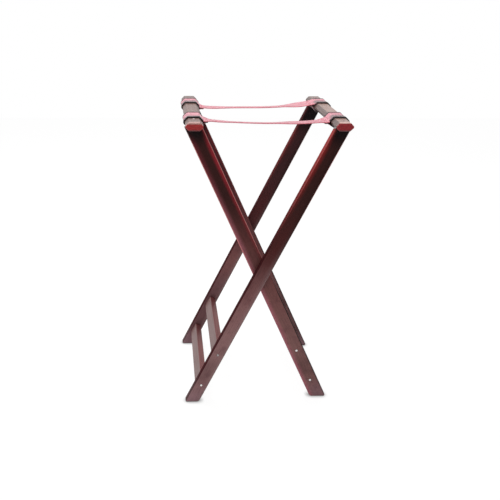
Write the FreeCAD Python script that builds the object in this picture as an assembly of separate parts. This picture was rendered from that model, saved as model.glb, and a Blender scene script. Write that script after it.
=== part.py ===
# Folding tray stand: two crossed wooden frames that turn on a pivot, with two webbing straps across the top.
# Millimetres. X runs across the spread of the legs, Y along the rails with the front at -Y, and Z up.
# The origin is on the floor, under the middle of the stand.
# Each frame is drawn as the outer one, with its feet at -X and its top at +X; the inner one is its mirror image.
import FreeCAD
import Part
import math
import os
from FreeCAD import Vector

# Overall sizes
stand_height = 793.0         # floor to the top of the rails
rail_spread = 364.0          # between the middles of the two rails
foot_spread = 360.5          # between the middles of the feet
rail_length = 400.0          # front to back

# Top rails
rail_width = 43.0
rail_height = 20.0
rail_side_flat = 4.0         # left on each side between the chamfers of the long edges
rail_end_chamfer = 1.6       # round each end
rail_overhang = 21.0         # past the outer faces of the outer legs

# Legs
outer_leg_width = 36.0
inner_leg_width = 41.0
leg_thickness = 19.0
leg_edge_radius = 3.0
foot_toe_radius = 3.5        # on the sharp corner of the foot
foot_heel_radius = 12.0      # on its blunt corner

# Stretchers, housed in the legs at both ends
stretcher_heights = {"lower": 54.0, "upper": 149.0}
stretcher_width = 38.0       # along the leg
stretcher_thickness = 19.0   # across the leg
stretcher_edge_radius = 3.0
housing_depth = 4.0
housing_clearance = 0.1

# Countersunk wood screws
screw_head_radius = 4.0
screw_shank_radius = 2.0
screw_crown_radius = 2.9     # the flat of the raised head, inside its bevel
screw_crown_height = 0.6
screw_tip_length = 5.0
screw_recess_width = 0.9
screw_recess_span = 4.4
screw_recess_depth = 1.5
screw_clearance = 0.1
stretcher_screw_length = 48.0
rail_screw_length = 45.0

# Pivot bolts, put in from the inside
bolt_radius = 3.0
bolt_head_radius = 6.0
bolt_head_height = 3.4
bolt_socket_flats = 4.0
bolt_socket_depth = 2.2
bolt_thread_length = 11.5    # inside the insert
pivot_clearance = 0.06       # round the bolt, in the inner leg and in the washers
head_washer_radius = 9.0
head_washer_thickness = 1.5
spacer_radius = 11.0
spacer_thickness = 2.5       # the gap between the outer and the inner leg
insert_radius = 4.75
insert_length = 13.0
insert_clearance = 0.05
insert_end_gap = 0.8         # below the insert, in its blind hole

# Webbing straps
strap_width = 64.0
strap_thickness = 2.2
strap_clearance = 0.1        # between the webbing and the rail
strap_leg_gap = 1.0          # from a strap's edge to the inner leg beside it
strap_sag = 9.0              # in the middle of the span, which leaves the loops half way down the rails

# Worked out from the sizes above
leg_top_z = stand_height - rail_height
leg_top_x = rail_spread / 2
leg_foot_x = -foot_spread / 2
lean = math.atan2(leg_top_x - leg_foot_x, leg_top_z)
leg_widths = {"outer": outer_leg_width, "inner": inner_leg_width}
pivot_z = leg_top_z * leg_foot_x / (leg_foot_x - leg_top_x)
outer_face = rail_length / 2 - rail_overhang
inner_face = outer_face - leg_thickness - spacer_thickness
face_depth = {"outer": outer_face, "inner": inner_face}
rail_x = rail_spread / 2
rail_chamfer = (rail_height - rail_side_flat) / 2
rail_z = stand_height - rail_height / 2
strap_place = inner_face - leg_thickness - strap_leg_gap - strap_width / 2

along_y = Vector(0, 1, 0)
end_sign = {"front": -1, "rear": 1}


def leg_x(z):
    """X of a leg's middle line at height z."""
    return leg_foot_x + (leg_top_x - leg_foot_x) * z / leg_top_z


def rounded_outline(corners):
    """Closed wire through corners given as (point, radius), with each corner rounded by an arc."""
    stops = []
    count = len(corners)
    for i, (point, radius) in enumerate(corners):
        back = (corners[i - 1][0] - point).normalize()
        ahead = (corners[(i + 1) % count][0] - point).normalize()
        half_angle = back.getAngle(ahead) / 2
        reach = radius / math.tan(half_angle)
        inward = (back + ahead).normalize()
        middle = point + inward * (radius / math.sin(half_angle) - radius)
        stops.append((point + back * reach, middle, point + ahead * reach))
    edges = []
    for i, (start, middle, end) in enumerate(stops):
        if start.distanceToPoint(end) > 0:
            edges.append(Part.Arc(start, middle, end).toShape())
        edges.append(Part.LineSegment(end, stops[(i + 1) % count][0]).toShape())
    return Part.Wire(edges)


def prism(wire, y_from, y_to):
    """Solid of an outline in the XZ plane, from one Y to another."""
    solid = Part.Face(wire).extrude(along_y * (y_to - y_from))
    solid.translate(along_y * y_from)
    return solid


def turned(points):
    """Solid of revolution about Z from (radius, height) points, closed along the axis."""
    outline = Part.makePolygon([Vector(r, 0, z) for r, z in points + points[:1]])
    return Part.Face(outline).revolve(Vector(0, 0, 0), Vector(0, 0, 1), 360)


def ring(outer_radius, inner_radius, thickness):
    """Flat washer or tube standing on the XY plane."""
    outside = Part.makeCylinder(outer_radius, thickness)
    return outside.cut(Part.makeCylinder(inner_radius, thickness))


def pointed(solid, place, direction):
    """A solid drawn along +Z, turned to point along direction from place."""
    placed = solid.copy()
    placed.Placement = FreeCAD.Placement(place, FreeCAD.Rotation(Vector(0, 0, 1), direction))
    return placed


def wood_screw(length):
    """Countersunk screw along +Z with a raised, bevelled head, its rim at the origin, and a cross recess."""
    neck = screw_head_radius - screw_shank_radius
    screw = turned([
        (0, -screw_crown_height),
        (screw_crown_radius, -screw_crown_height),
        (screw_head_radius, 0),
        (screw_shank_radius, neck),
        (screw_shank_radius, length - screw_tip_length),
        (0, length),
    ])
    depth = screw_recess_depth + screw_crown_height
    for span, width in [(screw_recess_span, screw_recess_width), (screw_recess_width, screw_recess_span)]:
        corner = Vector(-span / 2, -width / 2, -screw_crown_height)
        screw = screw.cut(Part.makeBox(span, width, depth, corner))
    return screw


def screw_hole(length):
    """What a screw's hole takes out: its countersink and shank with clearance, open above the head."""
    head = screw_head_radius + screw_clearance
    shank = screw_shank_radius + screw_clearance
    return turned([
        (0, -head),
        (head, -head),
        (head, 0),
        (shank, head - shank),
        (shank, length + screw_clearance),
        (0, length + screw_clearance),
    ])


def pivot_bolt():
    """Button-head bolt along +Z, with the underside of its head at the origin and a hexagon socket."""
    length = head_washer_thickness + leg_thickness + spacer_thickness + bolt_thread_length
    dome_radius = (bolt_head_radius ** 2 + bolt_head_height ** 2) / (2 * bolt_head_height)
    dome = Part.makeSphere(dome_radius, Vector(0, 0, dome_radius - bolt_head_height))
    dome = dome.common(Part.makeCylinder(bolt_head_radius, bolt_head_height, Vector(0, 0, -bolt_head_height)))
    bolt = dome.fuse(Part.makeCylinder(bolt_radius, length)).removeSplitter()
    corner_radius = bolt_socket_flats / math.sqrt(3)
    corners = []
    for i in range(7):
        angle = math.pi / 3 * i
        corners.append(Vector(corner_radius * math.cos(angle), corner_radius * math.sin(angle), -bolt_head_height))
    socket = Part.Face(Part.makePolygon(corners)).extrude(Vector(0, 0, bolt_socket_depth))
    return bolt.cut(socket)


def stretcher_bar(length, grow):
    """Stretcher of a given length at the origin, along Y and leaning with the leg, grown all round."""
    width = stretcher_width + 2 * grow
    thickness = stretcher_thickness + 2 * grow
    radius = stretcher_edge_radius + grow
    corners = []
    for x, z in [(-1, -1), (1, -1), (1, 1), (-1, 1)]:
        corners.append((Vector(x * thickness / 2, 0, z * width / 2), radius))
    bar = prism(rounded_outline(corners), -length / 2, length / 2)
    bar.rotate(Vector(0, 0, 0), along_y, math.degrees(lean))
    return bar


def stretcher_length(frame):
    """Length of a frame's stretchers, into the housings of both legs."""
    return 2 * (face_depth[frame] - leg_thickness + housing_depth)


def stretcher(frame, height):
    """One stretcher in its place, with the screw holes in its ends."""
    bar = stretcher_bar(stretcher_length(frame), 0)
    bar.translate(Vector(leg_x(height), 0, height))
    for end in end_sign:
        bar = bar.cut(stretcher_screw(frame, end, height, screw_hole))
    return bar


def stretcher_screw(frame, end, height, shape):
    """A screw, or its hole, from the outer face of a leg into the end of a stretcher."""
    place = Vector(leg_x(height), end_sign[end] * face_depth[frame], height)
    return pointed(shape(stretcher_screw_length), place, along_y * -end_sign[end])


def rail_screw(frame, end, shape):
    """A screw, or its hole, from the top of a rail down into the top of a leg."""
    y = end_sign[end] * (face_depth[frame] - leg_thickness / 2)
    return pointed(shape(rail_screw_length), Vector(rail_x, y, stand_height), Vector(0, 0, -1))


def leg_blank(frame, end):
    """A leg with level ends, a rounded foot and eased edges, before its holes."""
    level_half = leg_widths[frame] / 2 / math.cos(lean)
    corners = [
        (Vector(leg_foot_x - level_half, 0, 0), foot_toe_radius),
        (Vector(leg_foot_x + level_half, 0, 0), foot_heel_radius),
        (Vector(leg_top_x + level_half, 0, leg_top_z), 0),
        (Vector(leg_top_x - level_half, 0, leg_top_z), 0),
    ]
    near = min(end_sign[end] * face_depth[frame], end_sign[end] * (face_depth[frame] - leg_thickness))
    blank = prism(rounded_outline(corners), near, near + leg_thickness)
    eased = []
    for edge in blank.Edges:
        box = edge.BoundBox
        if box.YLength < leg_thickness / 2 and box.ZMin < leg_top_z - leg_thickness:
            eased.append(edge)
    return blank.makeFillet(leg_edge_radius, eased)


def leg(frame, end):
    """A leg with its stretcher housings, screw holes and pivot hole."""
    wood = leg_blank(frame, end)
    for height in stretcher_heights.values():
        housing = stretcher_bar(stretcher_length(frame) + 2 * housing_clearance, housing_clearance)
        housing.translate(Vector(leg_x(height), 0, height))
        wood = wood.cut(housing)
        wood = wood.cut(stretcher_screw(frame, end, height, screw_hole))
    wood = wood.cut(rail_screw(frame, end, screw_hole))
    sign = end_sign[end]
    if frame == "outer":
        seat = Vector(0, sign * (outer_face - leg_thickness), pivot_z)
        hole = Part.makeCylinder(insert_radius + insert_clearance, insert_length + insert_end_gap)
    else:
        seat = Vector(0, sign * (inner_face - leg_thickness), pivot_z)
        hole = Part.makeCylinder(bolt_radius + pivot_clearance, leg_thickness)
    return wood.cut(pointed(hole, seat, along_y * sign))


def octagon(grow):
    """Outline of a rail's section with chamfered edges, grown all round."""
    half_width = rail_width / 2 + grow
    half_height = rail_height / 2 + grow
    chamfer = rail_chamfer + grow * (2 - math.sqrt(2))
    corners = []
    for x, z in [(1, 1), (-1, 1), (-1, -1), (1, -1)]:
        on_top = Vector(rail_x + x * (half_width - chamfer), 0, rail_z + z * half_height)
        on_side = Vector(rail_x + x * half_width, 0, rail_z + z * (half_height - chamfer))
        corners += [on_side, on_top] if x == z else [on_top, on_side]
    return Part.makePolygon(corners + corners[:1])


def top_rail(frame):
    """A top rail with chamfered edges and ends, and its screw holes."""
    rail = prism(octagon(0), -rail_length / 2, rail_length / 2)
    ends = [edge for edge in rail.Edges if edge.BoundBox.YLength < rail_length / 2]
    rail = rail.makeChamfer(rail_end_chamfer, ends)
    for end in end_sign:
        rail = rail.cut(rail_screw(frame, end, screw_hole))
    return rail


def strap_reach(end):
    """Y from one edge of a strap to the other."""
    middle = end_sign[end] * strap_place
    return middle - strap_width / 2, middle + strap_width / 2


def strap_loop(end):
    """The webbing round a rail."""
    outside = prism(octagon(strap_clearance + strap_thickness), *strap_reach(end))
    return outside.cut(prism(octagon(strap_clearance), *strap_reach(end)))


def strap_span(end):
    """Half of the webbing between the rails, from the middle of the stand to the loop, in a shallow sag."""
    loop_x = rail_x - rail_width / 2 - strap_clearance - strap_thickness
    bend = (loop_x ** 2 + strap_sag ** 2) / (2 * strap_sag)
    centre_z = rail_z - strap_sag + bend

    def curve(offset):
        radius = bend + offset
        points = []
        for x in (0, loop_x / 2, loop_x):
            points.append(Vector(x, 0, centre_z - math.sqrt(radius ** 2 - x ** 2)))
        return points

    below = curve(strap_thickness / 2)
    above = curve(-strap_thickness / 2)
    edges = [
        Part.Arc(*below).toShape(),
        Part.LineSegment(below[2], above[2]).toShape(),
        Part.Arc(*reversed(above)).toShape(),
        Part.LineSegment(above[0], below[0]).toShape(),
    ]
    return prism(Part.Wire(edges), *strap_reach(end))


def on_pivots(shape, face_from_middle):
    """A copy of a turned piece on each pivot, pointing outwards from a distance along Y."""
    pieces = []
    for sign in end_sign.values():
        pieces.append(pointed(shape, Vector(0, sign * face_from_middle, pivot_z), along_y * sign))
    return Part.makeCompound(pieces)


def frame_pieces(frame):
    """Every piece of one frame by name, drawn as the outer frame stands."""
    pieces = {}
    for end in end_sign:
        pieces[f"{end}_leg"] = leg(frame, end)
        pieces[f"{end}_strap_loop"] = strap_loop(end)
        pieces[f"{end}_strap_span"] = strap_span(end)
    pieces["top_rail"] = top_rail(frame)
    screws = []
    for name, height in stretcher_heights.items():
        pieces[f"{name}_stretcher"] = stretcher(frame, height)
        screws += [stretcher_screw(frame, end, height, wood_screw) for end in end_sign]
    pieces["stretcher_screws"] = Part.makeCompound(screws)
    pieces["rail_screws"] = Part.makeCompound([rail_screw(frame, end, wood_screw) for end in end_sign])
    return pieces


def pivot_pieces():
    """The bolts, washers and inserts that the two frames turn on."""
    inside = inner_face - leg_thickness
    hole_radius = bolt_radius + pivot_clearance
    return {
        "pivot_bolts": on_pivots(pivot_bolt(), inside - head_washer_thickness),
        "pivot_head_washers": on_pivots(
            ring(head_washer_radius, hole_radius, head_washer_thickness), inside - head_washer_thickness),
        "pivot_spacers": on_pivots(ring(spacer_radius, hole_radius, spacer_thickness), inner_face),
        "pivot_inserts": on_pivots(ring(insert_radius, hole_radius, insert_length), inner_face + spacer_thickness),
    }


def stand():
    """Every piece of the stand by node name."""
    pieces = pivot_pieces()
    for name, shape in frame_pieces("outer").items():
        pieces[f"outer_{name}"] = shape
    for name, shape in frame_pieces("inner").items():
        pieces[f"inner_{name}"] = shape.mirror(Vector(0, 0, 0), Vector(1, 0, 0))
    return pieces


os.makedirs("parts", exist_ok=True)
for node, solid in stand().items():
    solid.exportStep(f"parts/{node}.step")
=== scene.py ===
# Looks of the folding tray stand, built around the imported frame. Metres, +Z up, with the front at -Y.
import math

import bpy
from mathutils import Matrix, Vector


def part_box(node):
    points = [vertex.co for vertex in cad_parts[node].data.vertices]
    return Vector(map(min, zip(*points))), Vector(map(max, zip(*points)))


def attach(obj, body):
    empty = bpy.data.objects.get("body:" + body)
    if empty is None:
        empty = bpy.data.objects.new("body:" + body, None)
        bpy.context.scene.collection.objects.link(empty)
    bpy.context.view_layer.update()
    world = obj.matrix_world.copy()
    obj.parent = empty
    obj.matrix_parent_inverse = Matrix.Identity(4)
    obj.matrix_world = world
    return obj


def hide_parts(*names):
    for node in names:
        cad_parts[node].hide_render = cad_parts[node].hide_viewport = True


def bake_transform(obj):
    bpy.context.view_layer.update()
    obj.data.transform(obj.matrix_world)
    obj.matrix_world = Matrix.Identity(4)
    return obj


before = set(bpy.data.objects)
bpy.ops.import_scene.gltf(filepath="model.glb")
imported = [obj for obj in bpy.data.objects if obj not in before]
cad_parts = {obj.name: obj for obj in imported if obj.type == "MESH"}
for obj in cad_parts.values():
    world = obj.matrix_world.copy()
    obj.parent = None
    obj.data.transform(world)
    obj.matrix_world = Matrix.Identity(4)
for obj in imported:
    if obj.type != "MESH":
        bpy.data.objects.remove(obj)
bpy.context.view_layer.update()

# Camera of the photograph: its place, its aim in radians, and its lens for a 36 mm sensor
CAMERA_PLACE = (-0.2545, -1.8901, 1.1298)
CAMERA_PAN = 0.0380
CAMERA_TILT = 0.3730
CAMERA_ROLL = 0.0087
CAMERA_LENS = 51.25
CAMERA_SHIFT = 0.12

# Studio
FLOOR_BEHIND = 4.0
FLOOR_AHEAD = 1.5
FLOOR_SIDE = 3.0
FLOOR_DROP = 0.0002
FLOOR_PALE = 0.92             # share of the light that the floor gives back
FLOOR_GLOW = 0.85             # share of plain white in what the camera sees of the floor
FLOOR_WHITE = 1.10            # its strength, which makes up for the lit share
CONTACT_REACH = 0.014         # how far round a foot the painted contact shadow dims the white
SKY_LIGHT = 0.34
GROUND_LIGHT = 0.06
HORIZON = (-0.10, 0.05)       # heights of a direction, from the dark ground to the white sky
LAMP_AIM = (0, 0, 0.4)
LAMPS = {
    "key": {"place": (-0.5, 0.7, 2.6), "size": 1.8, "power": 46.0},
    "fill": {"place": (-1.2, -2.0, 1.4), "size": 1.2, "power": 5.0},
}

# The two frames, and sizes of the stand that its boxes don't give
FRAME_BODIES = {"outer": "outer_frame", "inner": "inner_frame"}
STRAP_BODIES = {"outer": "outer_strap", "inner": "inner_strap"}
RAIL_SIDES = {"outer": 1, "inner": -1}
LEG_WIDTHS = {"outer": 0.036, "inner": 0.041}
RAIL_CHAMFER = 0.008

# Webbing
STRAP_THICKNESS = 0.0022
STRAP_STEP = 0.002            # between rings of the mesh
STRAP_TAIL = 0.007            # the sewn end, doubled under the span
STRAP_TAIL_GAP = 3 * STRAP_THICKNESS   # from the side of a loop to the sewn end
STRAP_LAYER_GAP = 0.0001
STRAP_DARK_FROM = 0.6         # share of the way round the rail, after which the strap is in painted shade
BINDING_WIDTH = 0.0065        # dark tape on the edges of the loops
BINDING_THICKNESS = 0.0008
EDGE_ROUNDING = 0.45          # of a band's thickness
EDGE_STEPS = 3                # round each quarter of an edge
FACE_STEPS = 12               # across each face
CORNER_STEPS = 4              # round each corner of a rail
SPAN_STEPS = 200              # along the curve of a span, before it is spaced evenly
TAIL_STEPS = 20
CAP_GAP = 0.02                # of a step, between a band's end and the ring that keeps its edge crisp
STITCH_ROWS = (0.0020, 0.0050)   # from the end of the tail
STITCH_MARGIN = 0.006         # from the strap's edges
STITCH_LENGTH = 0.0034
STITCH_PITCH = 0.0046
STITCH_RADIUS = 0.00042
STITCH_SIDES = 8
STITCH_RINGS = 6
STITCH_RISE = 1.1             # of its radius, from its ends to its middle
STITCH_DEPTH = 0.6            # of its radius, from the cloth down to its ends
STITCH_END = 0.55             # of its radius, at its ends

# Each half strap: its height in the middle, its slope in degrees where it meets the rail, how far the two
# handles of its curve reach, shares of its tilt with where each starts and ends, and the depth of its loop's
# painted shade
STRAP_FORMS = {
    ("outer", "front"): {
        "middle": 0.7743,
        "slope": 90,
        "reach": (0.020, 0.0100),
        "tilting": ((0.65, 0.160, 0.130), (0.35, 0.075, 0.020)),
        "shaded_depth": 0.038,
    },
    ("inner", "front"): {
        "middle": 0.7743,
        "slope": 50,
        "reach": (0.010, 0.0120),
        "tilting": ((0.75, 0.158, 0.135), (0.25, 0.125, 0.080)),
        "shaded_depth": 0.024,
    },
    ("outer", "rear"): {
        "middle": 0.7769,
        "slope": 44,
        "reach": (0.075, 0.0110),
        "tilting": ((1.00, 0.125, 0.070),),
        "shaded_depth": 0.042,
    },
    ("inner", "rear"): {
        "middle": 0.7769,
        "slope": 90,
        "reach": (0.107, 0.0120),
        "tilting": ((0.60, 0.160, 0.140), (0.40, 0.135, 0.060)),
        "shaded_depth": 0.042,
    },
}
STRAP_TILT = {"front": 0.0103, "rear": 0.0080}   # rear edge below the front edge, in the middle of a span


def colour(red, green, blue):
    """An opaque colour in linear light."""
    return (red, green, blue, 1.0)


# All materials: scales of noises per metre, the ranges of them that show, and depths of relief
NOISE_RANGE = (0.2, 0.8)
FIGURE_SCALE = (55, 55, 3.2)
STREAK_SCALE = (620, 620, 9)
PORE_SCALE = (1500, 1500, 55)
PORE_RANGE = (0.60, 0.70)
PORE_SHARE = 0.5              # of their own colour, in the pores
CLOUD_SCALE = 26.0
CLOUD_RANGE = (0.48, 0.72)
RING_SCALE = (130, 1000, 1)
RING_RANGE = (0.40, 0.65)
PLATE_SCALE = 700.0
SCRATCH_SCALE = (4000, 4000, 300)
FADE_SCALE = 90.0
FUZZ_SCALE = 2500.0
TWIST_SCALE = 3500.0
RELIEFS = {"wood": 0.00012, "metal": 0.00002, "webbing": 0.00025, "tape": 0.0002, "thread": 0.0001}

# Normals: sizes along one axis, from one kind of face to the next
EDGE_FACING = (0.985, 0.87)   # the largest, from a flat face to a rounded edge
SIDE_FACING = (0.60, 0.80)    # sideways, from a wide face to a narrow one
CHAMFER_FACING = (0.30, 0.60)   # sideways, from a rail's top to its chamfers
END_FACING = (0.30, 0.50)     # along a rail, from its sides to its ends

# Legs: colours, shares, and pairs of heights or depths from where a look starts to where it is full
LEG_TONES = {
    "outer": {
        # pale and palest: faces paler towards the floor, painted light from the floor
        "pale": colour(0.370, 0.190, 0.188),
        "palest": colour(0.510, 0.275, 0.270),
        # rear legs' lower faces: painted shade
        "rear": colour(0.190, 0.085, 0.095),
        # a painted pool of light on the rear legs
        "rear_lit_patch": colour(0.350, 0.150, 0.145),
        # heights where the painted floor light starts and is full
        "lit_pale": (0.47, 0.28),
        # rim along the lower edge: dark high up, painted rim light low down
        "upper_rim": colour(0.012, 0.006, 0.005),
        "lower_rim": colour(0.440, 0.280, 0.280),
        "rim_share": 0.5,
        "rim_change": (0.55, 0.30),
        # painted light along the upper edge, spreading towards the top
        "glow": colour(0.440, 0.032, 0.030),
        "glow_reach": (0.016, 0.000),
        "glow_rise": (0.48, 0.70),
        "glow_spread": (-0.003, -0.001),
        # sides: red high up from painted light, dark below
        "flank": colour(0.460, 0.066, 0.064),
        "low_flank": colour(0.058, 0.004, 0.006),
        # edges: worn red, with a painted highlight that is brightest high up
        "worn": colour(0.620, 0.130, 0.122),
        "worn_and_lit_change": (0.46, 0.68),
    },
    # the inner legs' sides lie in deep painted shade
    "inner": {
        "pale": colour(0.277, 0.128, 0.119),
        "palest": colour(0.398, 0.194, 0.182),
        "rear": colour(0.240, 0.125, 0.130),
        "rear_lit_patch": colour(0.240, 0.115, 0.118),
        "lit_pale": (0.60, 0.26),
        "upper_rim": colour(0.260, 0.035, 0.050),
        "lower_rim": colour(0.670, 0.215, 0.265),
        "rim_share": 0.85,
        "rim_change": (0.72, 0.42),
        "glow": colour(0.480, 0.030, 0.046),
        "glow_reach": (0.012, 0.001),
        "glow_rise": (0.30, 0.72),
        "glow_spread": (0.0, 0.0025),
        "flank": colour(0.022, 0.004, 0.006),
        "low_flank": colour(0.016, 0.003, 0.004),
        "worn": colour(0.980, 0.340, 0.330),
        "worn_and_lit_change": (0.30, 0.48),
    },
}
LEG_COLOURS = {
    "dark": colour(0.046, 0.014, 0.012),
    "less_dark": colour(0.074, 0.019, 0.017),
    # the rear legs' darker tops: painted shade
    "rear_dark": colour(0.078, 0.029, 0.034),
    "cloud": colour(0.150, 0.055, 0.065),
    "warm": colour(0.240, 0.028, 0.028),
    # a darker band just above the feet
    "low_dark_band": colour(0.060, 0.022, 0.024),
    # pale feet and pale low sides: painted light from the floor
    "foot": colour(0.420, 0.250, 0.300),
    "foot_side": colour(0.150, 0.085, 0.088),
    "streak": colour(0.022, 0.004, 0.004),
    "pore": colour(0.012, 0.003, 0.003),
    "shade": colour(0.005, 0.003, 0.004),
}
# Heights on every leg; where there are four, the look fades from the third to the last
LEG_HEIGHTS = {
    "rear_lit_patch": (0.20, 0.29, 0.31, 0.40),
    "warm": (0.16, 0.34, 0.46, 0.60),
    "low_dark_band": (0.045, 0.085, 0.110, 0.150),
    "foot": (0.07, 0.0),
    "foot_side": (0.10, 0.02),
    "spread": (0.50, 0.72),
    "flank": (0.45, 0.73),
}
LEG_SHARES = {"cloud": 0.4, "warm": 0.28, "low_dark_band": 0.28, "foot": 0.5, "streak": 0.40, "shade": 0.90}
FRONT_TO_REAR = (-0.05, 0.05)   # along Y, between the look of the front legs, with their painted light, and that of the rear ones, in painted shade
REAR_SHARE = 0.3              # of the front legs' look, painted light included, on the rear ones
RIM_DEPTH = 0.016             # from a leg's lower edge, along which a painted rim light runs low down
EDGE_CHANGE = (0.3, 0.7)      # shares of a leg's width, from its upper edges' look to its lower edges'
SHADE_DEPTHS = (0.010, 0.045)   # full shade under the rails, on the front and on the rear legs
SHADE_FADE = 0.045
SPARED_EDGE = (0.008, 0.001)  # from a leg's upper edge, which stays out of that shade
SPARED_SHARE = 0.9
LEG_ROUGHNESS = (0.32, 0.46)
LEG_SIDE_ROUGHNESS = 0.90

# Rails: as above, with depths below the top
RAIL_TONES = {
    "outer": {
        # pale brown of the rails: painted sheen, paler on the outer rail
        "lit_pale": colour(0.292, 0.167, 0.138),
        "most_lit_pale": colour(0.486, 0.313, 0.265),
        # share of painted shade on the chamfers
        "chamfer": 0.85,
        "end": colour(0.380, 0.024, 0.033),
        "bright_end": colour(0.540, 0.042, 0.052),
        "bare": colour(0.860, 0.560, 0.490),
        "bare_depth": 0.0006,
    },
    "inner": {
        "lit_pale": colour(0.145, 0.074, 0.060),
        "most_lit_pale": colour(0.250, 0.150, 0.124),
        "chamfer": 0.20,
        "end": colour(0.495, 0.035, 0.035),
        "bright_end": colour(0.690, 0.060, 0.058),
        "bare": colour(0.620, 0.330, 0.290),
        "bare_depth": 0.0030,
    },
}
RAIL_COLOURS = {
    "less_bare": colour(0.480, 0.240, 0.210),
    "streak": colour(0.090, 0.034, 0.028),
    "pore": colour(0.040, 0.014, 0.012),
    # painted shade on the chamfers, and the rail's darker rear
    "dull_and_shade": colour(0.080, 0.043, 0.040),
    "ring": colour(0.150, 0.010, 0.014),
    # darker along the bottom of the ends
    "bottom_dark": colour(0.130, 0.045, 0.050),
}
RAIL_SHARES = {"streak": 0.5, "worn": 0.8, "dull_and_shade": 0.62, "ring": 0.45, "bottom_dark": 0.8}
RAIL_WORN = (0.022, 0.006)    # from the front end
RAIL_DARKER_REAR = (0.125, 0.165)    # along Y, where the rail grows darker towards the rear
RAIL_BOTTOM_DARK = (0.0045, 0.0015)  # above the underside
RAIL_BARE_FADE = 0.0008
RAIL_ROUGHNESS = (0.30, 0.48)

# Stretchers
STRETCHER_COLOURS = {
    # wide faces paler and greyer: painted sheen
    "wide": colour(0.210, 0.110, 0.105),
    "pale_wide": colour(0.300, 0.170, 0.160),
    "narrow": colour(0.215, 0.062, 0.060),
    "pale_narrow": colour(0.320, 0.098, 0.094),
    # narrow faces towards the rear: painted shade
    "rear": colour(0.045, 0.007, 0.009),
    "streak": colour(0.040, 0.010, 0.010),
    "pore": colour(0.020, 0.006, 0.006),
}
STRETCHER_SHARES = {"rear": 0.7, "streak": 0.40}
STRETCHER_REAR = (-0.02, 0.15)   # along Y, where the painted shade on the narrow faces starts and is full
STRETCHER_ROUGHNESS = (0.36, 0.50)

# Metal
METALS = {
    "bright": {"base": colour(0.92, 0.90, 0.89), "dull_and_shade": colour(0.80, 0.77, 0.76), "roughness": 0.34},
    "worn": {"base": colour(0.66, 0.52, 0.51), "dull_and_shade": colour(0.50, 0.38, 0.38), "roughness": 0.45},
    "zinc": {"base": colour(0.62, 0.62, 0.62), "dull_and_shade": colour(0.48, 0.48, 0.50), "roughness": 0.38},
    "brass": {"base": colour(0.72, 0.52, 0.22), "dull_and_shade": colour(0.58, 0.40, 0.16), "roughness": 0.32},
}
# darkens a screw's bevels, by stain and painted shade, and its top where it is darker
METAL_DARK = colour(0.100, 0.050, 0.050)
METAL_VARIETY = (0.75, 1.25)  # of its roughness, from scratch to scratch
DARKER_SHARE = 0.55
DARKER_FADE = 0.01

# Cloth
WARP_PITCH = 0.0011
WEFT_PITCH = 0.0016
TAPE_PITCH = 0.0012
SELVEDGE = (0.0030, 0.0022)   # from the strap's edge
SELVEDGE_WANDER = 0.0012
LOOP_START = (-0.003, 0.005)  # from the rail's inner side
UNDER_FADE = 0.008            # along the strap, into the painted shade of its end
CLOTH_COLOURS = {
    "deep": colour(0.800, 0.290, 0.360),
    "faded": colour(0.900, 0.400, 0.472),
    # painted shade in the weave's hollows
    "weave": colour(0.640, 0.100, 0.140),
    "selvedge": colour(0.960, 0.130, 0.180),
    # painted shade on the fronts of the loops
    "loop_shade": colour(0.150, 0.115, 0.118),
    # painted shade where the strap turns under the rail
    "under": colour(0.070, 0.036, 0.038),
    "sheen": colour(1.0, 0.88, 0.91),
    "tape": colour(0.010, 0.007, 0.007),
    "pale_tape": colour(0.034, 0.024, 0.024),
    # painted shade in the tape's grooves
    "tape_groove": colour(0.006, 0.004, 0.004),
    "thread": colour(0.480, 0.080, 0.110),
    "pale_thread": colour(0.680, 0.160, 0.200),
}
CLOTH_SHARES = {"weave": 0.25, "selvedge": 0.5, "loop_shade": 0.85, "under": 0.85, "tape_groove": 0.5}
CLOTH_ROUGHNESS = {"webbing": (0.45, 0.65), "tape": (0.55, 0.75), "thread": (0.45, 0.65)}
WEAVE_HEIGHT = 0.5            # share of the webbing's relief, above and below its middle
FUZZ_HEIGHT = 0.6             # share of it that is added to the weave

leg_low, leg_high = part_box("outer_front_leg")
rail_low, rail_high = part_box("outer_top_rail")
leg_height = leg_high.z - leg_low.z
bolt_low, bolt_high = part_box("pivot_bolts")
pivot_height = (bolt_low.z + bolt_high.z) / 2


def leg_lean():
    """Angle of a leg from upright, from its box and its width, by repeated trial."""
    lean = 0.4
    for _ in range(20):
        level_width = LEG_WIDTHS["outer"] / math.cos(lean)
        lean = math.atan2(leg_high.x - leg_low.x - level_width, leg_height)
    return lean


LEAN = leg_lean()
ALONG_Y = (math.pi / 2, 0, 0)   # turns a rail's or stretcher's length to Z


def smooth(value, start, end):
    """0 at start and 1 at end, with an even ease between them."""
    t = min(1.0, max(0.0, (value - start) / (end - start)))
    return t * t * (3 - 2 * t)


# Shader nodes
def add(tree, kind, inputs=None, **settings):
    """A shader node with its settings, and its inputs filled by values or by other nodes' outputs."""
    made = tree.nodes.new("ShaderNode" + kind)
    for name, value in settings.items():
        setattr(made, name, value)
    for key, value in (inputs or {}).items():
        if isinstance(value, bpy.types.NodeSocket):
            tree.links.new(value, made.inputs[key])
        else:
            made.inputs[key].default_value = value
    return made


def new_material(name):
    """A material with an empty node tree."""
    made = bpy.data.materials.new(name)
    made.use_nodes = True
    made.node_tree.nodes.clear()
    return made, made.node_tree


def principled(tree, inputs):
    """A principled shader as the surface of a material."""
    shader = add(tree, "BsdfPrincipled", inputs)
    add(tree, "OutputMaterial", {"Surface": shader.outputs[0]})


def maths(tree, operation, first, second=0.0, third=0.0):
    """An operation on up to three values."""
    return add(tree, "Math", {0: first, 1: second, 2: third}, operation=operation).outputs[0]


def times(tree, first, second):
    """The product of two values."""
    return maths(tree, "MULTIPLY", first, second)


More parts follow.
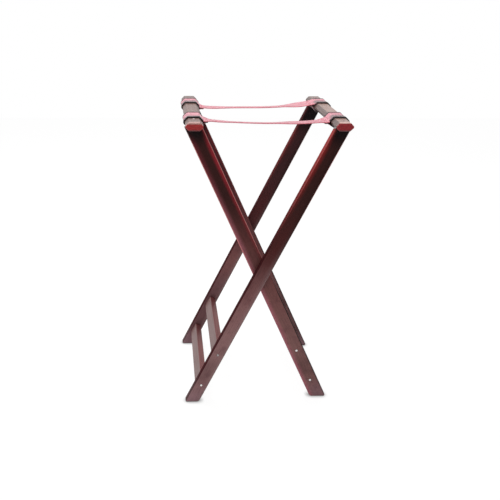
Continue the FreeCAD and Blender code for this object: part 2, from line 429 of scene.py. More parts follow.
def between(tree, value, low, high, bottom=0.0, top=1.0):
    """Value eased from bottom at low to top at high."""
    inputs = {"Value": value, "From Min": low, "From Max": high, "To Min": bottom, "To Max": top}
    return add(tree, "MapRange", inputs, interpolation_type="SMOOTHSTEP").outputs["Result"]


def within(tree, value, start, full, fading, end):
    """1 from full to fading, eased to 0 at start and at end."""
    return times(tree, between(tree, value, start, full), between(tree, value, end, fading))


def varied(tree, noise_value, low, high):
    """A value from low to high that follows a noise."""
    return between(tree, noise_value, *NOISE_RANGE, low, high)


def mix(tree, share, first, second):
    """The first colour, with a share of the second."""
    return add(tree, "Mix", {0: share, 6: first, 7: second}, data_type="RGBA").outputs[2]


def split(tree, vector):
    """The X, Y and Z of a vector."""
    parts = add(tree, "SeparateXYZ", {"Vector": vector})
    return [parts.outputs[axis] for axis in range(3)]


def noise(tree, place, scale=1.0, detail=3.0, distortion=0.0):
    """A soft noise from 0 to 1."""
    inputs = {"Vector": place, "Scale": scale, "Detail": detail, "Distortion": distortion}
    return add(tree, "TexNoise", inputs).outputs["Fac"]


def stretched(tree, place, scale):
    """A place scaled along each axis."""
    return add(tree, "Mapping", {"Vector": place, "Scale": scale}).outputs["Vector"]


def bump(tree, height, distance):
    """The surface's normal, tilted as if a height of 1 stood out by a distance."""
    return add(tree, "Bump", {"Height": height, "Distance": distance, "Strength": 1.0}).outputs["Normal"]


def place_in_stand(tree):
    """The place in the whole stand, at rest."""
    return add(tree, "TexCoord").outputs["Object"]


# Wood
def turned_normal(tree, turn):
    """The surface's own normal with the piece's length turned to Z, as its sizes along X, Y and Z."""
    normal = add(tree, "TexCoord").outputs["Normal"]
    made = add(tree, "VectorRotate", {"Vector": normal, "Rotation": turn}, rotation_type="EULER_XYZ")
    return [maths(tree, "ABSOLUTE", part) for part in split(tree, made.outputs["Vector"])]


def eased_edges(tree, turn):
    """1 on the rounded long edges of a square-cut piece, and 0 on its faces."""
    across, deep, along = turned_normal(tree, turn)
    flattest = maths(tree, "MAXIMUM", across, deep)
    flattest = maths(tree, "MAXIMUM", flattest, along)
    return between(tree, flattest, *EDGE_FACING)


def turned_place(tree, turn):
    """The place in the stand with the piece's length turned to Z."""
    return add(tree, "Mapping", {"Vector": place_in_stand(tree), "Rotation": turn}).outputs["Vector"]


def grain(tree, turn):
    """Broad figure, fine streaks and short pores that run along the piece, each from 0 to 1."""
    place = turned_place(tree, turn)
    figure = noise(tree, stretched(tree, place, FIGURE_SCALE), detail=4.0, distortion=0.6)
    streaks = noise(tree, stretched(tree, place, STREAK_SCALE))
    pores = noise(tree, stretched(tree, place, PORE_SCALE), detail=2.0)
    return figure, streaks, between(tree, pores, *PORE_RANGE)


def grained(tree, base, streaks, pores, colours, shares):
    """A colour darkened by its streaks and pores."""
    base = mix(tree, times(tree, streaks, shares["streak"]), base, colours["streak"])
    return mix(tree, times(tree, pores, PORE_SHARE), base, colours["pore"])


def lacquered(tree, base, roughness, streaks, pores, shine, coat):
    """A stained surface with streaks and pores under a thin clear lacquer."""
    principled(tree, {
        "Base Color": base,
        "Roughness": roughness,
        "Normal": bump(tree, maths(tree, "SUBTRACT", streaks, pores), RELIEFS["wood"]),
        "Specular IOR Level": shine,
        "Coat Weight": coat,
        "Coat Roughness": 0.16,
    })


def leg_places(tree, turn, side, width):
    """A place's height, Y, share of the front legs' look and distance from the leg's upper edge."""
    _, back, height = split(tree, place_in_stand(tree))
    sideways, _, _ = split(tree, turned_place(tree, turn))
    front, rear = FRONT_TO_REAR
    return {
        "height": height,
        "back": back,
        "in_front": between(tree, back, rear, front, REAR_SHARE, 1.0),
        "from_upper": maths(tree, "MULTIPLY_ADD", sideways, side, math.sin(LEAN) * pivot_height + width / 2),
    }


def floor_lit_face(tree, at, figure, tones):
    """A wide face: dark above and paler below from painted floor light, with clouds, a warm band, a darker
    band low down and feet paled by painted floor light; painted shade and a painted pool of light on the rear
    legs.
    """
    height, in_front = at["height"], at["in_front"]
    dark = mix(tree, figure, LEG_COLOURS["dark"], LEG_COLOURS["less_dark"])
    # The rear legs darker: painted shade
    dark = mix(tree, in_front, LEG_COLOURS["rear_dark"], dark)
    pale = mix(tree, figure, tones["pale"], tones["palest"])
    clouds = noise(tree, place_in_stand(tree), CLOUD_SCALE)
    clouds = between(tree, clouds, *CLOUD_RANGE, 0.0, LEG_SHARES["cloud"])
    pale = mix(tree, clouds, pale, LEG_COLOURS["cloud"])
    # The rear legs' faces: painted shade, with a painted pool of light
    patch = within(tree, height, *LEG_HEIGHTS["rear_lit_patch"])
    rear = mix(tree, patch, tones["rear"], tones["rear_lit_patch"])
    pale = mix(tree, in_front, rear, pale)
    face = mix(tree, between(tree, height, *tones["lit_pale"]), dark, pale)
    warmth = within(tree, height, *LEG_HEIGHTS["warm"])
    face = mix(tree, times(tree, warmth, LEG_SHARES["warm"]), face, LEG_COLOURS["warm"])
    # A darker band just above the feet, on the front legs
    low_dark_band = times(tree, within(tree, height, *LEG_HEIGHTS["low_dark_band"]), in_front)
    face = mix(tree, times(tree, low_dark_band, LEG_SHARES["low_dark_band"]), face, LEG_COLOURS["low_dark_band"])
    # Pale feet: painted light from the floor
    foot = between(tree, height, *LEG_HEIGHTS["foot"], 0.0, LEG_SHARES["foot"])
    return mix(tree, foot, face, LEG_COLOURS["foot"])


def upper_glow(tree, at, tones):
    """Share of red painted light along a leg's upper edge, which spreads towards the top."""
    spread = between(tree, at["height"], *LEG_HEIGHTS["spread"], *tones["glow_spread"])
    glow = between(tree, maths(tree, "SUBTRACT", at["from_upper"], spread), *tones["glow_reach"])
    glow = times(tree, glow, between(tree, at["height"], *tones["glow_rise"]))
    return times(tree, glow, at["in_front"])


def top_shade(tree, at):
    """Share of dark under the rails, deeper on the rear legs, which spares the front legs' upper edges."""
    from_top = maths(tree, "SUBTRACT", leg_height, at["height"])
    depth = between(tree, at["back"], *FRONT_TO_REAR, *SHADE_DEPTHS)
    shade = between(tree, maths(tree, "SUBTRACT", from_top, depth), SHADE_FADE, 0.0, 0.0, LEG_SHARES["shade"])
    spared = times(tree, between(tree, at["from_upper"], *SPARED_EDGE, 0.0, SPARED_SHARE), at["in_front"])
    return times(tree, shade, maths(tree, "SUBTRACT", 1.0, spared))


def leg_wood(name, frame_name):
    """Dark red mahogany: faces paler towards the floor from painted floor light, sides reddest at the top
    from painted light, edges red from wear and a painted highlight.
    """
    made, tree = new_material(name)
    tones = LEG_TONES[frame_name]
    side = RAIL_SIDES[frame_name]
    width = LEG_WIDTHS[frame_name]
    turn = (0, -side * LEAN, 0)
    figure, streaks, pores = grain(tree, turn)
    across, _, _ = turned_normal(tree, turn)
    at = leg_places(tree, turn, side, width)
    height, in_front, from_upper = at["height"], at["in_front"], at["from_upper"]

    face = floor_lit_face(tree, at, figure, tones)
    # Painted light along the upper edge
    face = mix(tree, upper_glow(tree, at, tones), face, tones["glow"])
    # Painted rim light along the lower edge, low down
    rim = mix(tree, between(tree, height, *tones["rim_change"]), tones["upper_rim"], tones["lower_rim"])
    at_rim = times(tree, between(tree, from_upper, width - RIM_DEPTH, width), tones["rim_share"])
    face = mix(tree, at_rim, face, rim)

    # Sides: pale near the floor and red high up from painted light, dark between; the inner legs' sides in
    # painted shade
    foot_side = between(tree, height, *LEG_HEIGHTS["foot_side"])
    low_flank = mix(tree, foot_side, tones["low_flank"], LEG_COLOURS["foot_side"])
    reddening = times(tree, between(tree, height, *LEG_HEIGHTS["flank"]), in_front)
    flank = mix(tree, reddening, low_flank, tones["flank"])
    base = mix(tree, between(tree, across, *SIDE_FACING), face, flank)

    # Edges: worn red, with a painted highlight high up on the front legs
    rim = mix(tree, in_front, tones["rear"], rim)
    upper_to_lower = between(tree, from_upper, *(share * width for share in EDGE_CHANGE))
    low_edge = mix(tree, upper_to_lower, low_flank, rim)
    worn_and_lit_share = times(tree, between(tree, height, *tones["worn_and_lit_change"]), in_front)
    worn = mix(tree, worn_and_lit_share, low_edge, tones["worn"])
    base = mix(tree, eased_edges(tree, turn), base, worn)

    base = grained(tree, base, streaks, pores, LEG_COLOURS, LEG_SHARES)
    base = mix(tree, top_shade(tree, at), base, LEG_COLOURS["shade"])
    matt_sides = between(tree, across, *SIDE_FACING, 0.0, LEG_SIDE_ROUGHNESS)
    roughness = maths(tree, "MAXIMUM", varied(tree, streaks, *LEG_ROUGHNESS), matt_sides)
    lacquered(tree, base, roughness, streaks, pores, shine=0.15, coat=0.0)
    return made


def stretcher_wood(name, frame_name):
    """Stretchers: the wide faces a pale brown from painted sheen, the narrow ones red, with painted shade
    towards the rear.
    """
    made, tree = new_material(name)
    figure, streaks, pores = grain(tree, ALONG_Y)
    leaning = (0, -RAIL_SIDES[frame_name] * LEAN, 0)
    across, _, _ = turned_normal(tree, leaning)
    _, back, _ = split(tree, place_in_stand(tree))
    wide = mix(tree, figure, STRETCHER_COLOURS["wide"], STRETCHER_COLOURS["pale_wide"])
    narrow = mix(tree, figure, STRETCHER_COLOURS["narrow"], STRETCHER_COLOURS["pale_narrow"])
    # Painted shade on the narrow faces towards the rear
    rear = between(tree, back, *STRETCHER_REAR, 0.0, STRETCHER_SHARES["rear"])
    narrow = mix(tree, rear, narrow, STRETCHER_COLOURS["rear"])
    base = mix(tree, between(tree, across, *SIDE_FACING), narrow, wide)
    base = grained(tree, base, streaks, pores, STRETCHER_COLOURS, STRETCHER_SHARES)
    roughness = varied(tree, streaks, *STRETCHER_ROUGHNESS)
    lacquered(tree, base, roughness, streaks, pores, shine=0.25, coat=0.05)
    return made


def rail_end(tree, height, figure, bare, tones):
    """A rail's end: red end grain with rings, a bare strip at its top, darker along its bottom."""
    end = mix(tree, figure, tones["end"], tones["bright_end"])
    rings = noise(tree, stretched(tree, turned_place(tree, ALONG_Y), RING_SCALE), distortion=0.5)
    rings = between(tree, rings, *RING_RANGE, 0.0, RAIL_SHARES["ring"])
    end = mix(tree, rings, end, RAIL_COLOURS["ring"])
    bare_from = rail_high.z - tones["bare_depth"]
    end = mix(tree, between(tree, height, bare_from - RAIL_BARE_FADE, bare_from), end, bare)
    bottom_dark_heights = (rail_low.z + rise for rise in RAIL_BOTTOM_DARK)
    bottom_dark = between(tree, height, *bottom_dark_heights, 0.0, RAIL_SHARES["bottom_dark"])
    return mix(tree, bottom_dark, end, RAIL_COLOURS["bottom_dark"])


def rail_wood(name, frame_name):
    """Rail: pale brown from painted sheen, painted shade on its chamfers, darker at the rear, bare at its
    front edge, red on its ends.
    """
    made, tree = new_material(name)
    tones = RAIL_TONES[frame_name]
    figure, streaks, pores = grain(tree, ALONG_Y)
    across, _, along = turned_normal(tree, ALONG_Y)
    _, back, height = split(tree, place_in_stand(tree))
    bare = mix(tree, streaks, tones["bare"], RAIL_COLOURS["less_bare"])
    base = mix(tree, figure, tones["lit_pale"], tones["most_lit_pale"])
    base = grained(tree, base, streaks, pores, RAIL_COLOURS, RAIL_SHARES)
    worn_places = (rail_low.y + depth for depth in RAIL_WORN)
    base = mix(tree, between(tree, back, *worn_places, 0.0, RAIL_SHARES["worn"]), base, bare)
    # Painted shade on the chamfers, and darker towards the rear
    dull_and_shade = between(tree, across, *CHAMFER_FACING, 0.0, tones["chamfer"])
    dull_and_shade = maths(tree, "MAXIMUM", dull_and_shade, between(tree, back, *RAIL_DARKER_REAR, 0.0, RAIL_SHARES["dull_and_shade"]))
    base = mix(tree, dull_and_shade, base, RAIL_COLOURS["dull_and_shade"])
    end = rail_end(tree, height, figure, bare, tones)
    base = mix(tree, between(tree, along, *END_FACING), base, end)
    lacquered(tree, base, varied(tree, streaks, *RAIL_ROUGHNESS), streaks, pores, shine=0.4, coat=0.10)
    return made


# Metal
def metal(name, base, dull_and_shade, roughness, bevel_stain_and_shade=0.0, darker_above=1.0):
    """Plated or turned metal with fine scratches and a cloudy plate, darkened on bevels by stain and painted
    shade, and above a height.
    """
    made, tree = new_material(name)
    place = place_in_stand(tree)
    plate = mix(tree, noise(tree, place, PLATE_SCALE, detail=4.0), base, dull_and_shade)
    scratches = noise(tree, stretched(tree, place, SCRATCH_SCALE), detail=2.0)
    _, _, height = split(tree, place)
    # Bevels darkened by stain and painted shade; darker above a height
    darkening = times(tree, eased_edges(tree, (0, 0, 0)), bevel_stain_and_shade)
    upper_dark = between(tree, height, darker_above, darker_above + DARKER_FADE, 0.0, DARKER_SHARE)
    darkening = maths(tree, "MAXIMUM", darkening, upper_dark)
    principled(tree, {
        "Base Color": mix(tree, darkening, plate, METAL_DARK),
        "Metallic": 1.0,
        "Roughness": varied(tree, scratches, *(roughness * share for share in METAL_VARIETY)),
        "Normal": bump(tree, scratches, RELIEFS["metal"]),
    })
    return made


# Cloth
def ribs(tree, distance, pitch):
    """Waves of a pitch along a distance, from -1 to 1."""
    return maths(tree, "SINE", times(tree, distance, 2 * math.pi / pitch))


def weave_place(tree):
    """The place across and along a band, as a vector."""
    return add(tree, "UVMap", uv_map="weave").outputs["UV"]


def webbing(name, width, shaded_depth, turned_under):
    """Rose ribbed webbing with deeper selvedges and painted shade in its hollows, on the loops' fronts and
    where turned under.
    """
    made, tree = new_material(name)
    place = weave_place(tree)
    across, along, _ = split(tree, place)
    weave = times(tree, ribs(tree, across, WARP_PITCH), ribs(tree, along, WEFT_PITCH))
    weave = times(tree, weave, WEAVE_HEIGHT)
    fuzz = noise(tree, place, FUZZ_SCALE, detail=2.0)
    base = mix(tree, noise(tree, place, FADE_SCALE), CLOTH_COLOURS["deep"], CLOTH_COLOURS["faded"])
    # Painted shade in the weave's hollows
    hollows = between(tree, weave, -WEAVE_HEIGHT, WEAVE_HEIGHT, CLOTH_SHARES["weave"], 0.0)
    base = mix(tree, hollows, base, CLOTH_COLOURS["weave"])
    wander = times(tree, maths(tree, "SUBTRACT", fuzz, 0.5), SELVEDGE_WANDER)
    from_middle = maths(tree, "ADD", maths(tree, "ABSOLUTE", across), wander)
    selvedge_places = (width / 2 - depth for depth in SELVEDGE)
    selvedge = between(tree, from_middle, *selvedge_places, 0.0, CLOTH_SHARES["selvedge"])
    base = mix(tree, selvedge, base, CLOTH_COLOURS["selvedge"])
    sideways, _, _ = split(tree, place_in_stand(tree))
    # Painted shade on the fronts of the loops
    loop_places = (rail_low.x + depth for depth in LOOP_START)
    on_loop = between(tree, maths(tree, "ABSOLUTE", sideways), *loop_places, 0.0, CLOTH_SHARES["loop_shade"])
    grey = between(tree, across, shaded_depth - width / 2, shaded_depth * 0.5 - width / 2)
    base = mix(tree, times(tree, grey, on_loop), base, CLOTH_COLOURS["loop_shade"])
    # Painted shade where the strap turns under the rail
    under = between(tree, along, turned_under, turned_under + UNDER_FADE, 0.0, CLOTH_SHARES["under"])
    base = mix(tree, under, base, CLOTH_COLOURS["under"])
    relief = maths(tree, "ADD", weave, times(tree, fuzz, FUZZ_HEIGHT))
    principled(tree, {
        "Base Color": base,
        "Roughness": varied(tree, fuzz, *CLOTH_ROUGHNESS["webbing"]),
        "Normal": bump(tree, relief, RELIEFS["webbing"]),
        "Sheen Weight": 0.70,
        "Sheen Roughness": 0.4,
        "Sheen Tint": CLOTH_COLOURS["sheen"],
    })
    return made


def edge_tape(name):
    """Near-black ribbed tape round the edges of the loops."""
    made, tree = new_material(name)
    _, along, _ = split(tree, weave_place(tree))
    ridges = ribs(tree, along, TAPE_PITCH)
    fuzz = noise(tree, place_in_stand(tree), FUZZ_SCALE, detail=2.0)
    base = mix(tree, fuzz, CLOTH_COLOURS["tape"], CLOTH_COLOURS["pale_tape"])
    # Painted shade in the grooves
    grooves = between(tree, ridges, -1.0, 1.0, CLOTH_SHARES["tape_groove"], 0.0)
    principled(tree, {
        "Base Color": mix(tree, grooves, base, CLOTH_COLOURS["tape_groove"]),
        "Roughness": varied(tree, fuzz, *CLOTH_ROUGHNESS["tape"]),
        "Normal": bump(tree, maths(tree, "ADD", ridges, fuzz), RELIEFS["tape"]),
    })
    return made


def sewing_thread(name):
    """Rose twisted thread, a shade deeper than the webbing."""
    made, tree = new_material(name)
    twist = noise(tree, place_in_stand(tree), TWIST_SCALE, detail=2.0)
    principled(tree, {
        "Base Color": mix(tree, twist, CLOTH_COLOURS["thread"], CLOTH_COLOURS["pale_thread"]),
        "Roughness": varied(tree, twist, *CLOTH_ROUGHNESS["thread"]),
        "Normal": bump(tree, twist, RELIEFS["thread"]),
    })
    return made


# Straps
def bezier(points, steps):
    """Points along the cubic curve of four control points."""
    a, b, c, d = points
    curve = []
    for i in range(steps + 1):
        t = i / steps
        s = 1 - t
        curve.append(a * s ** 3 + b * (3 * s * s * t) + c * (3 * s * t * t) + d * t ** 3)
    return curve


def heading(degrees):
    """A direction in the (X, Z) plane, of length 1."""
    angle = math.radians(degrees)
    return Vector((math.cos(angle), math.sin(angle)))


def round_corner(corner, lift, start, end):
    """Points round a rail's corner at a distance from it, from one direction to another in degrees."""
    turn = (end - start) / CORNER_STEPS
    return [corner + heading(start + turn * i) * lift for i in range(CORNER_STEPS + 1)]


def evenly(points, step):
    """A polyline's points again, at even steps along it."""
    lengths = [0.0]
    for first, second in zip(points, points[1:]):
        lengths.append(lengths[-1] + (second - first).length)
    count = max(2, round(lengths[-1] / step))
    even = []
    index = 0
    for i in range(count + 1):
        target = lengths[-1] * i / count
        while index < len(points) - 2 and lengths[index + 1] < target:
            index += 1
        share = (target - lengths[index]) / max(1e-9, lengths[index + 1] - lengths[index])
        even.append(points[index].lerp(points[index + 1], share))
    return even


def facing(points, index):
    """The direction square to a polyline at one of its points, to the left of its travel."""
    ahead = points[min(index + 1, len(points) - 1)] - points[max(index - 1, 0)]
    ahead.normalize()
    return Vector((-ahead.y, ahead.x))


def strap_route(form):
    """Middle line of half a strap as (X, Z) points: its span, the wrap round the rail, and the sewn tail."""
    slope = form["slope"]
    centre = Vector(((rail_low.x + rail_high.x) / 2, (rail_low.z + rail_high.z) / 2))
    half_width = (rail_high.x - rail_low.x) / 2
    half_height = (rail_high.z - rail_low.z) / 2
    lift = STRAP_LAYER_GAP + BINDING_THICKNESS + STRAP_THICKNESS / 2
    flat_x = half_width - RAIL_CHAMFER
    flat_z = half_height - RAIL_CHAMFER
    corners = [
        ((-flat_x, half_height), min(90 + slope, 135), 90),
        ((flat_x, half_height), 90, 45),
        ((half_width, flat_z), 45, 0),
        ((half_width, -flat_z), 0, -45),
        ((flat_x, -half_height), -45, -90),
    ]
    if slope > 45:
        corners.insert(0, ((-half_width, flat_z), 90 + slope, 135))
    wrap = []
    for corner, turn_from, turn_to in corners:
        wrap += round_corner(centre + Vector(corner), lift, turn_from, turn_to)

    start = Vector((0.0, form["middle"]))
    first_reach, last_reach = form["reach"]
    controls = (start, start + Vector((first_reach, 0.0)), wrap[0] - heading(slope) * last_reach, wrap[0])
    span = evenly(bezier(controls, SPAN_STEPS), STRAP_STEP)

    layer = STRAP_THICKNESS + STRAP_LAYER_GAP
    turn_x = centre.x - half_width - lift - STRAP_TAIL_GAP
    tail = []
    for i, point in reversed(list(enumerate(span))):
        below = point - facing(span, i) * layer
        if turn_x - STRAP_TAIL < below.x < turn_x:
            tail.append(below)
    heel = centre + Vector((-flat_x, -half_height))
    leave = math.degrees(math.atan2(tail[0].y - heel.y, heel.x - tail[0].x))
    wrap += round_corner(heel, lift, -90, -90 - leave)
    handle = (tail[0] - wrap[-1]).length / 3
    back = (tail[1] - tail[0]).normalized()
    joint = (wrap[-1], wrap[-1] + heading(180 - leave) * handle, tail[0] - back * handle, tail[0])
    tail = evenly(bezier(joint, TAIL_STEPS), STRAP_STEP)[1:] + tail[1:]
    return span, evenly(wrap, STRAP_STEP), tail


def hang(point, middle_y, width, form, tilt):
    """Lowers a strap's rear edge and raises its front edge towards the middle of the span."""
    share = sum(part * smooth(abs(point.x), start, end) for part, start, end in form["tilting"])
    return point - Vector((0, 0, tilt * share * (point.y - middle_y) / width))


def band_section(width, thickness):
    """Outline of a flat band across its length, as (across, above) pairs: flat faces and rounded edges."""
    radius = EDGE_ROUNDING * thickness
    reach = width / 2 - radius
    rise = thickness / 2 - radius
    outline = []
    for side in (1, -1):
        for i in range(FACE_STEPS):
            outline.append((side * reach * (1 - 2 * i / FACE_STEPS), side * thickness / 2))
        for first, level in ((0, rise), (1, -rise)):
            for i in range(EDGE_STEPS + 1 - first):
                angle = math.pi / 2 * (first + i / EDGE_STEPS)
                across = reach + radius * math.sin(angle)
                outline.append((-side * across, side * (level + radius * math.cos(angle))))
    return outline


def mesh_object(name, points, faces, material):
    """A mesh in the scene, smooth along its sides of four-cornered faces and flat on its end caps."""
    mesh = bpy.data.meshes.new(name)
    mesh.from_pydata(points, [], faces)
    mesh.polygons.foreach_set("use_smooth", [len(face) == 4 for face in faces])
    mesh.materials.append(material)
    made = bpy.data.objects.new(name, mesh)
    bpy.context.scene.collection.objects.link(made)
    return made


def band_mesh(name, route, side, place_y, section, material, settle=None):
    """A band along a route at a place along Y, with places across and along it in metres for its material."""
    first_inside = route[0].lerp(route[1], CAP_GAP)
    last_inside = route[-1].lerp(route[-2], CAP_GAP)
    route = [route[0], first_inside] + route[1:-1] + [last_inside, route[-1]]
    points, faces, weave = [], [], []
    travelled = 0.0
    for i, middle in enumerate(route):
        if i:
            travelled += (middle - route[i - 1]).length
        up = facing(route, i)
        for across, above in section:
            spot = middle + up * above
            point = Vector((side * spot.x, place_y + across, spot.y))
            points.append(settle(point) if settle else point)
            weave.append((across, travelled))
    count = len(section)
    last = (len(route) - 1) * count
    for ring in range(0, last, count):
        for j in range(count):
            k = (j + 1) % count
            corners = (ring + j, ring + k, ring + count + k, ring + count + j)
            faces.append(corners if side > 0 else corners[::-1])
    for ring, sense in ((0, -side), (last, side)):
        centre = len(points)
        points.append(sum(points[ring:ring + count], Vector()) / count)
        weave.append((0.0, weave[ring][1]))
        for j in range(count):
            corners = (centre, ring + j, ring + (j + 1) % count)
            faces.append(corners if sense > 0 else corners[::-1])
    made = mesh_object(name, points, faces, material)
    layer = made.data.uv_layers.new(name="weave")
    for loop in made.data.loops:
        layer.data[loop.index].uv = weave[loop.vertex_index]
    return made, travelled


def stitch(start, end, out):
    """Points and faces of one stitch: a round thread that dips into the cloth at both ends."""
    points, faces = [], []
    along = (end - start).normalized()
    aside = out.cross(along)
    for i in range(STITCH_RINGS + 1):
        share = i / STITCH_RINGS
        arch = math.sin(math.pi * share)
        middle = start.lerp(end, share) + out * STITCH_RADIUS * (STITCH_RISE * arch - STITCH_DEPTH)
        radius = STITCH_RADIUS * (STITCH_END + (1 - STITCH_END) * arch)
        for j in range(STITCH_SIDES):
            angle = 2 * math.pi * j / STITCH_SIDES
            points.append(middle + (aside * math.cos(angle) + out * math.sin(angle)) * radius)
    for i in range(STITCH_RINGS):
        for j in range(STITCH_SIDES):
            k = (j + 1) % STITCH_SIDES
            ring, following = i * STITCH_SIDES, (i + 1) * STITCH_SIDES
            faces.append((ring + j, ring + k, following + k, following + j))
    faces.append(tuple(range(STITCH_SIDES))[::-1])
    faces.append(tuple(range(STITCH_RINGS * STITCH_SIDES, (STITCH_RINGS + 1) * STITCH_SIDES)))
    return points, faces


def stitching(name, span, tail_end, side, middle_y, width, material, settle):
    """Rows of stitches across a strap, on the top of the span and on the underside of its tail."""
    points, faces = [], []
    half_row = width / 2 - STITCH_MARGIN
    half_stitch = Vector((0, STITCH_LENGTH / 2, 0))
    top = STRAP_THICKNESS / 2
    bottom = -top - STRAP_THICKNESS - STRAP_LAYER_GAP
    for row in STITCH_ROWS:
        index = min(range(len(span)), key=lambda i: abs(span[i].x - tail_end - row))
        up = facing(span, index)
        for above, sense in ((top, 1), (bottom, -1)):
            spot = span[index] + up * above
            out = Vector((side * up.x, 0, up.y)) * sense
            for n in range(int(2 * half_row / STITCH_PITCH) + 1):
                middle = Vector((side * spot.x, middle_y - half_row + n * STITCH_PITCH, spot.y))
                new_points, new_faces = stitch(middle - half_stitch, middle + half_stitch, out)
                base = len(points)
                points.extend(settle(p) for p in new_points)
                faces.extend(tuple(base + v for v in face) for face in new_faces)
    return mesh_object(name, points, faces, material)


def make_straps():
    """Four half straps, each from the stand's middle round one rail, with their sewing and bound edges."""
    low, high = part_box("outer_front_strap_loop")
    width = high.y - low.y
    thread = sewing_thread("sewing_thread")
    tape = edge_tape("dark_edge_tape")
    cloth_section = band_section(width, STRAP_THICKNESS)
    tape_section = band_section(BINDING_WIDTH, STRAP_THICKNESS + 2 * BINDING_THICKNESS)
    for (frame_name, end), form in STRAP_FORMS.items():
        side = RAIL_SIDES[frame_name]
        low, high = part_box(f"{frame_name}_{end}_strap_loop")
        middle_y = (low.y + high.y) / 2
        name = f"{frame_name}_{end}_strap"
        span, wrap, tail = strap_route(form)
        turned_under = (len(span) + STRAP_DARK_FROM * len(wrap)) * STRAP_STEP
        cloth = webbing(f"{name}_webbing", width, form["shaded_depth"], turned_under)

        def settle(point):
            return hang(point, middle_y, width, form, STRAP_TILT[end])

        strap, length = band_mesh(name, span + wrap[1:] + tail, side, middle_y, cloth_section, cloth, settle)
        sewing = stitching(f"{name}_stitches", span, tail[-1].x, side, middle_y, width, thread, settle)
        for piece in (strap, sewing):
            FRAME_BODIES[frame_name]
            STRAP_BODIES[frame_name]
            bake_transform(piece)
        for edge_name, edge_sign in (("near", -1), ("far", 1)):
            edge_y = middle_y + edge_sign * (width / 2 + BINDING_THICKNESS - BINDING_WIDTH / 2)
            binding, _ = band_mesh(f"{name}_{edge_name}_edge", wrap, side, edge_y, tape_section, tape)
            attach(binding, FRAME_BODIES[frame_name])
        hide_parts(f"{frame_name}_{end}_strap_loop", f"{frame_name}_{end}_strap_span")


# Finishes of the nodes that stay visible
def make_finishes():
    """Materials by how a node's name ends, and then by how it starts."""
    bright_screw = metal("bright_screw", **METALS["bright"], bevel_stain_and_shade=1.0)
    darkened_screw = metal("part_darkened_screw", **METALS["bright"], bevel_stain_and_shade=1.0, darker_above=0.10)
    dull_screw = metal("dull_screw", **METALS["worn"], bevel_stain_and_shade=1.0)
    zinc = metal("zinc_steel", **METALS["zinc"])
    brass = metal("turned_brass", **METALS["brass"])
    return {
        "leg": {owner: leg_wood(f"{owner}_leg_wood", owner) for owner in FRAME_BODIES},
        "top_rail": {owner: rail_wood(f"{owner}_rail_wood", owner) for owner in FRAME_BODIES},
        "stretcher": {owner: stretcher_wood(f"{owner}_stretcher_wood", owner) for owner in FRAME_BODIES},
        "stretcher_screws": {"outer": darkened_screw, "inner": bright_screw},
        "rail_screws": {"outer": dull_screw, "inner": bright_screw},
        "inserts": {"pivot": brass},
        "bolts": {"pivot": zinc},
        "washers": {"pivot": zinc},
        "spacers": {"pivot": zinc},
    }


def finish_nodes():
    """Gives every node its finish, apart from the straps, which are made here."""
    finishes = make_finishes()
    for name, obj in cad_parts.items():
        if "strap" in name:
            continue
        ending = next(ending for ending in finishes if name.endswith(ending))
        obj.data.materials.clear()
        obj.data.materials.append(finishes[ending][name.split("_")[0]])


# Studio
def shown_rays(tree):
    """1 for rays to the camera, by way of a gloss or through glass; and 1 for those to the camera alone."""
    rays = add(tree, "LightPath").outputs
    shown = maths(tree, "MAXIMUM", rays["Is Camera Ray"], rays["Is Glossy Ray"])
    return maths(tree, "MAXIMUM", shown, rays["Is Transmission Ray"]), rays["Is Camera Ray"]


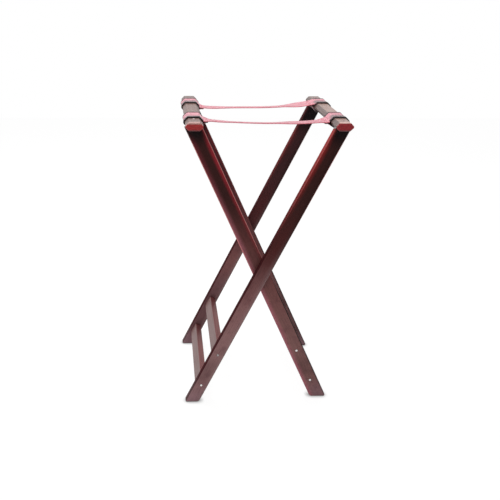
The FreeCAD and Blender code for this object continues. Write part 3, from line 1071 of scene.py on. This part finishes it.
def make_floor():
    """A pale floor that looks white, keeps the stand's shadow, and has a painted contact shadow round its
    feet.
    """
    corners = [
        (-FLOOR_SIDE, -FLOOR_AHEAD, -FLOOR_DROP),
        (FLOOR_SIDE, -FLOOR_AHEAD, -FLOOR_DROP),
        (FLOOR_SIDE, FLOOR_BEHIND, -FLOOR_DROP),
        (-FLOOR_SIDE, FLOOR_BEHIND, -FLOOR_DROP),
    ]
    pale, tree = new_material("pale_floor")
    shown, _ = shown_rays(tree)
    matt = add(tree, "BsdfDiffuse", {"Color": colour(FLOOR_PALE, FLOOR_PALE, FLOOR_PALE)})
    # Painted contact shadow: the white dims near the feet
    open_share = add(tree, "AmbientOcclusion", {"Distance": CONTACT_REACH}).outputs["AO"]
    strength = times(tree, open_share, FLOOR_WHITE)
    white = add(tree, "Emission", {"Color": colour(1, 1, 1), "Strength": strength})
    share = times(tree, shown, FLOOR_GLOW)
    both = add(tree, "MixShader", {0: share, 1: matt.outputs[0], 2: white.outputs[0]})
    add(tree, "OutputMaterial", {"Surface": both.outputs[0]})
    mesh_object("floor", corners, [(0, 1, 2, 3)], pale)


def make_sky():
    """A plain soft sky: white where it shows, dimmer for the light it gives, and dark below the horizon."""
    world = bpy.data.worlds.new("studio")
    bpy.context.scene.world = world
    world.use_nodes = True
    tree = world.node_tree
    tree.nodes.clear()
    shown, seen = shown_rays(tree)
    _, _, height = split(tree, add(tree, "TexCoord").outputs["Generated"])
    above = between(tree, height, *HORIZON, GROUND_LIGHT, 1.0)
    strength = maths(tree, "MAXIMUM", seen, above)
    plain = add(tree, "Background", {"Color": colour(1, 1, 1), "Strength": strength})
    light = add(tree, "Background", {"Color": colour(1, 1, 1), "Strength": SKY_LIGHT})
    both = add(tree, "MixShader", {0: shown, 1: light.outputs[0], 2: plain.outputs[0]})
    add(tree, "OutputWorld", {"Surface": both.outputs[0]})


def make_lamps():
    """Soft round lamps, all aimed at the stand."""
    for name, form in LAMPS.items():
        lamp = bpy.data.lights.new(name, "AREA")
        lamp.shape = "DISK"
        lamp.size = form["size"]
        lamp.energy = form["power"]
        made = bpy.data.objects.new(name, lamp)
        made.location = form["place"]
        aim = Vector(LAMP_AIM) - Vector(form["place"])
        made.rotation_euler = aim.to_track_quat("-Z", "Y").to_euler()
        bpy.context.scene.collection.objects.link(made)


def make_camera():
    """The photograph's camera."""
    lens = bpy.data.cameras.new("camera")
    lens.lens = CAMERA_LENS
    lens.shift_x = CAMERA_SHIFT
    made = bpy.data.objects.new("camera", lens)
    made.matrix_world = (
        Matrix.Translation(CAMERA_PLACE)
        @ Matrix.Rotation(-CAMERA_PAN, 4, "Z")
        @ Matrix.Rotation(math.pi / 2 - CAMERA_TILT, 4, "X")
        @ Matrix.Rotation(CAMERA_ROLL, 4, "Z")
    )
    bpy.context.scene.collection.objects.link(made)
    bpy.context.scene.camera = made


finish_nodes()
make_straps()
make_floor()
make_sky()
make_lamps()
make_camera()
bpy.context.scene.view_settings.view_transform = "Standard"
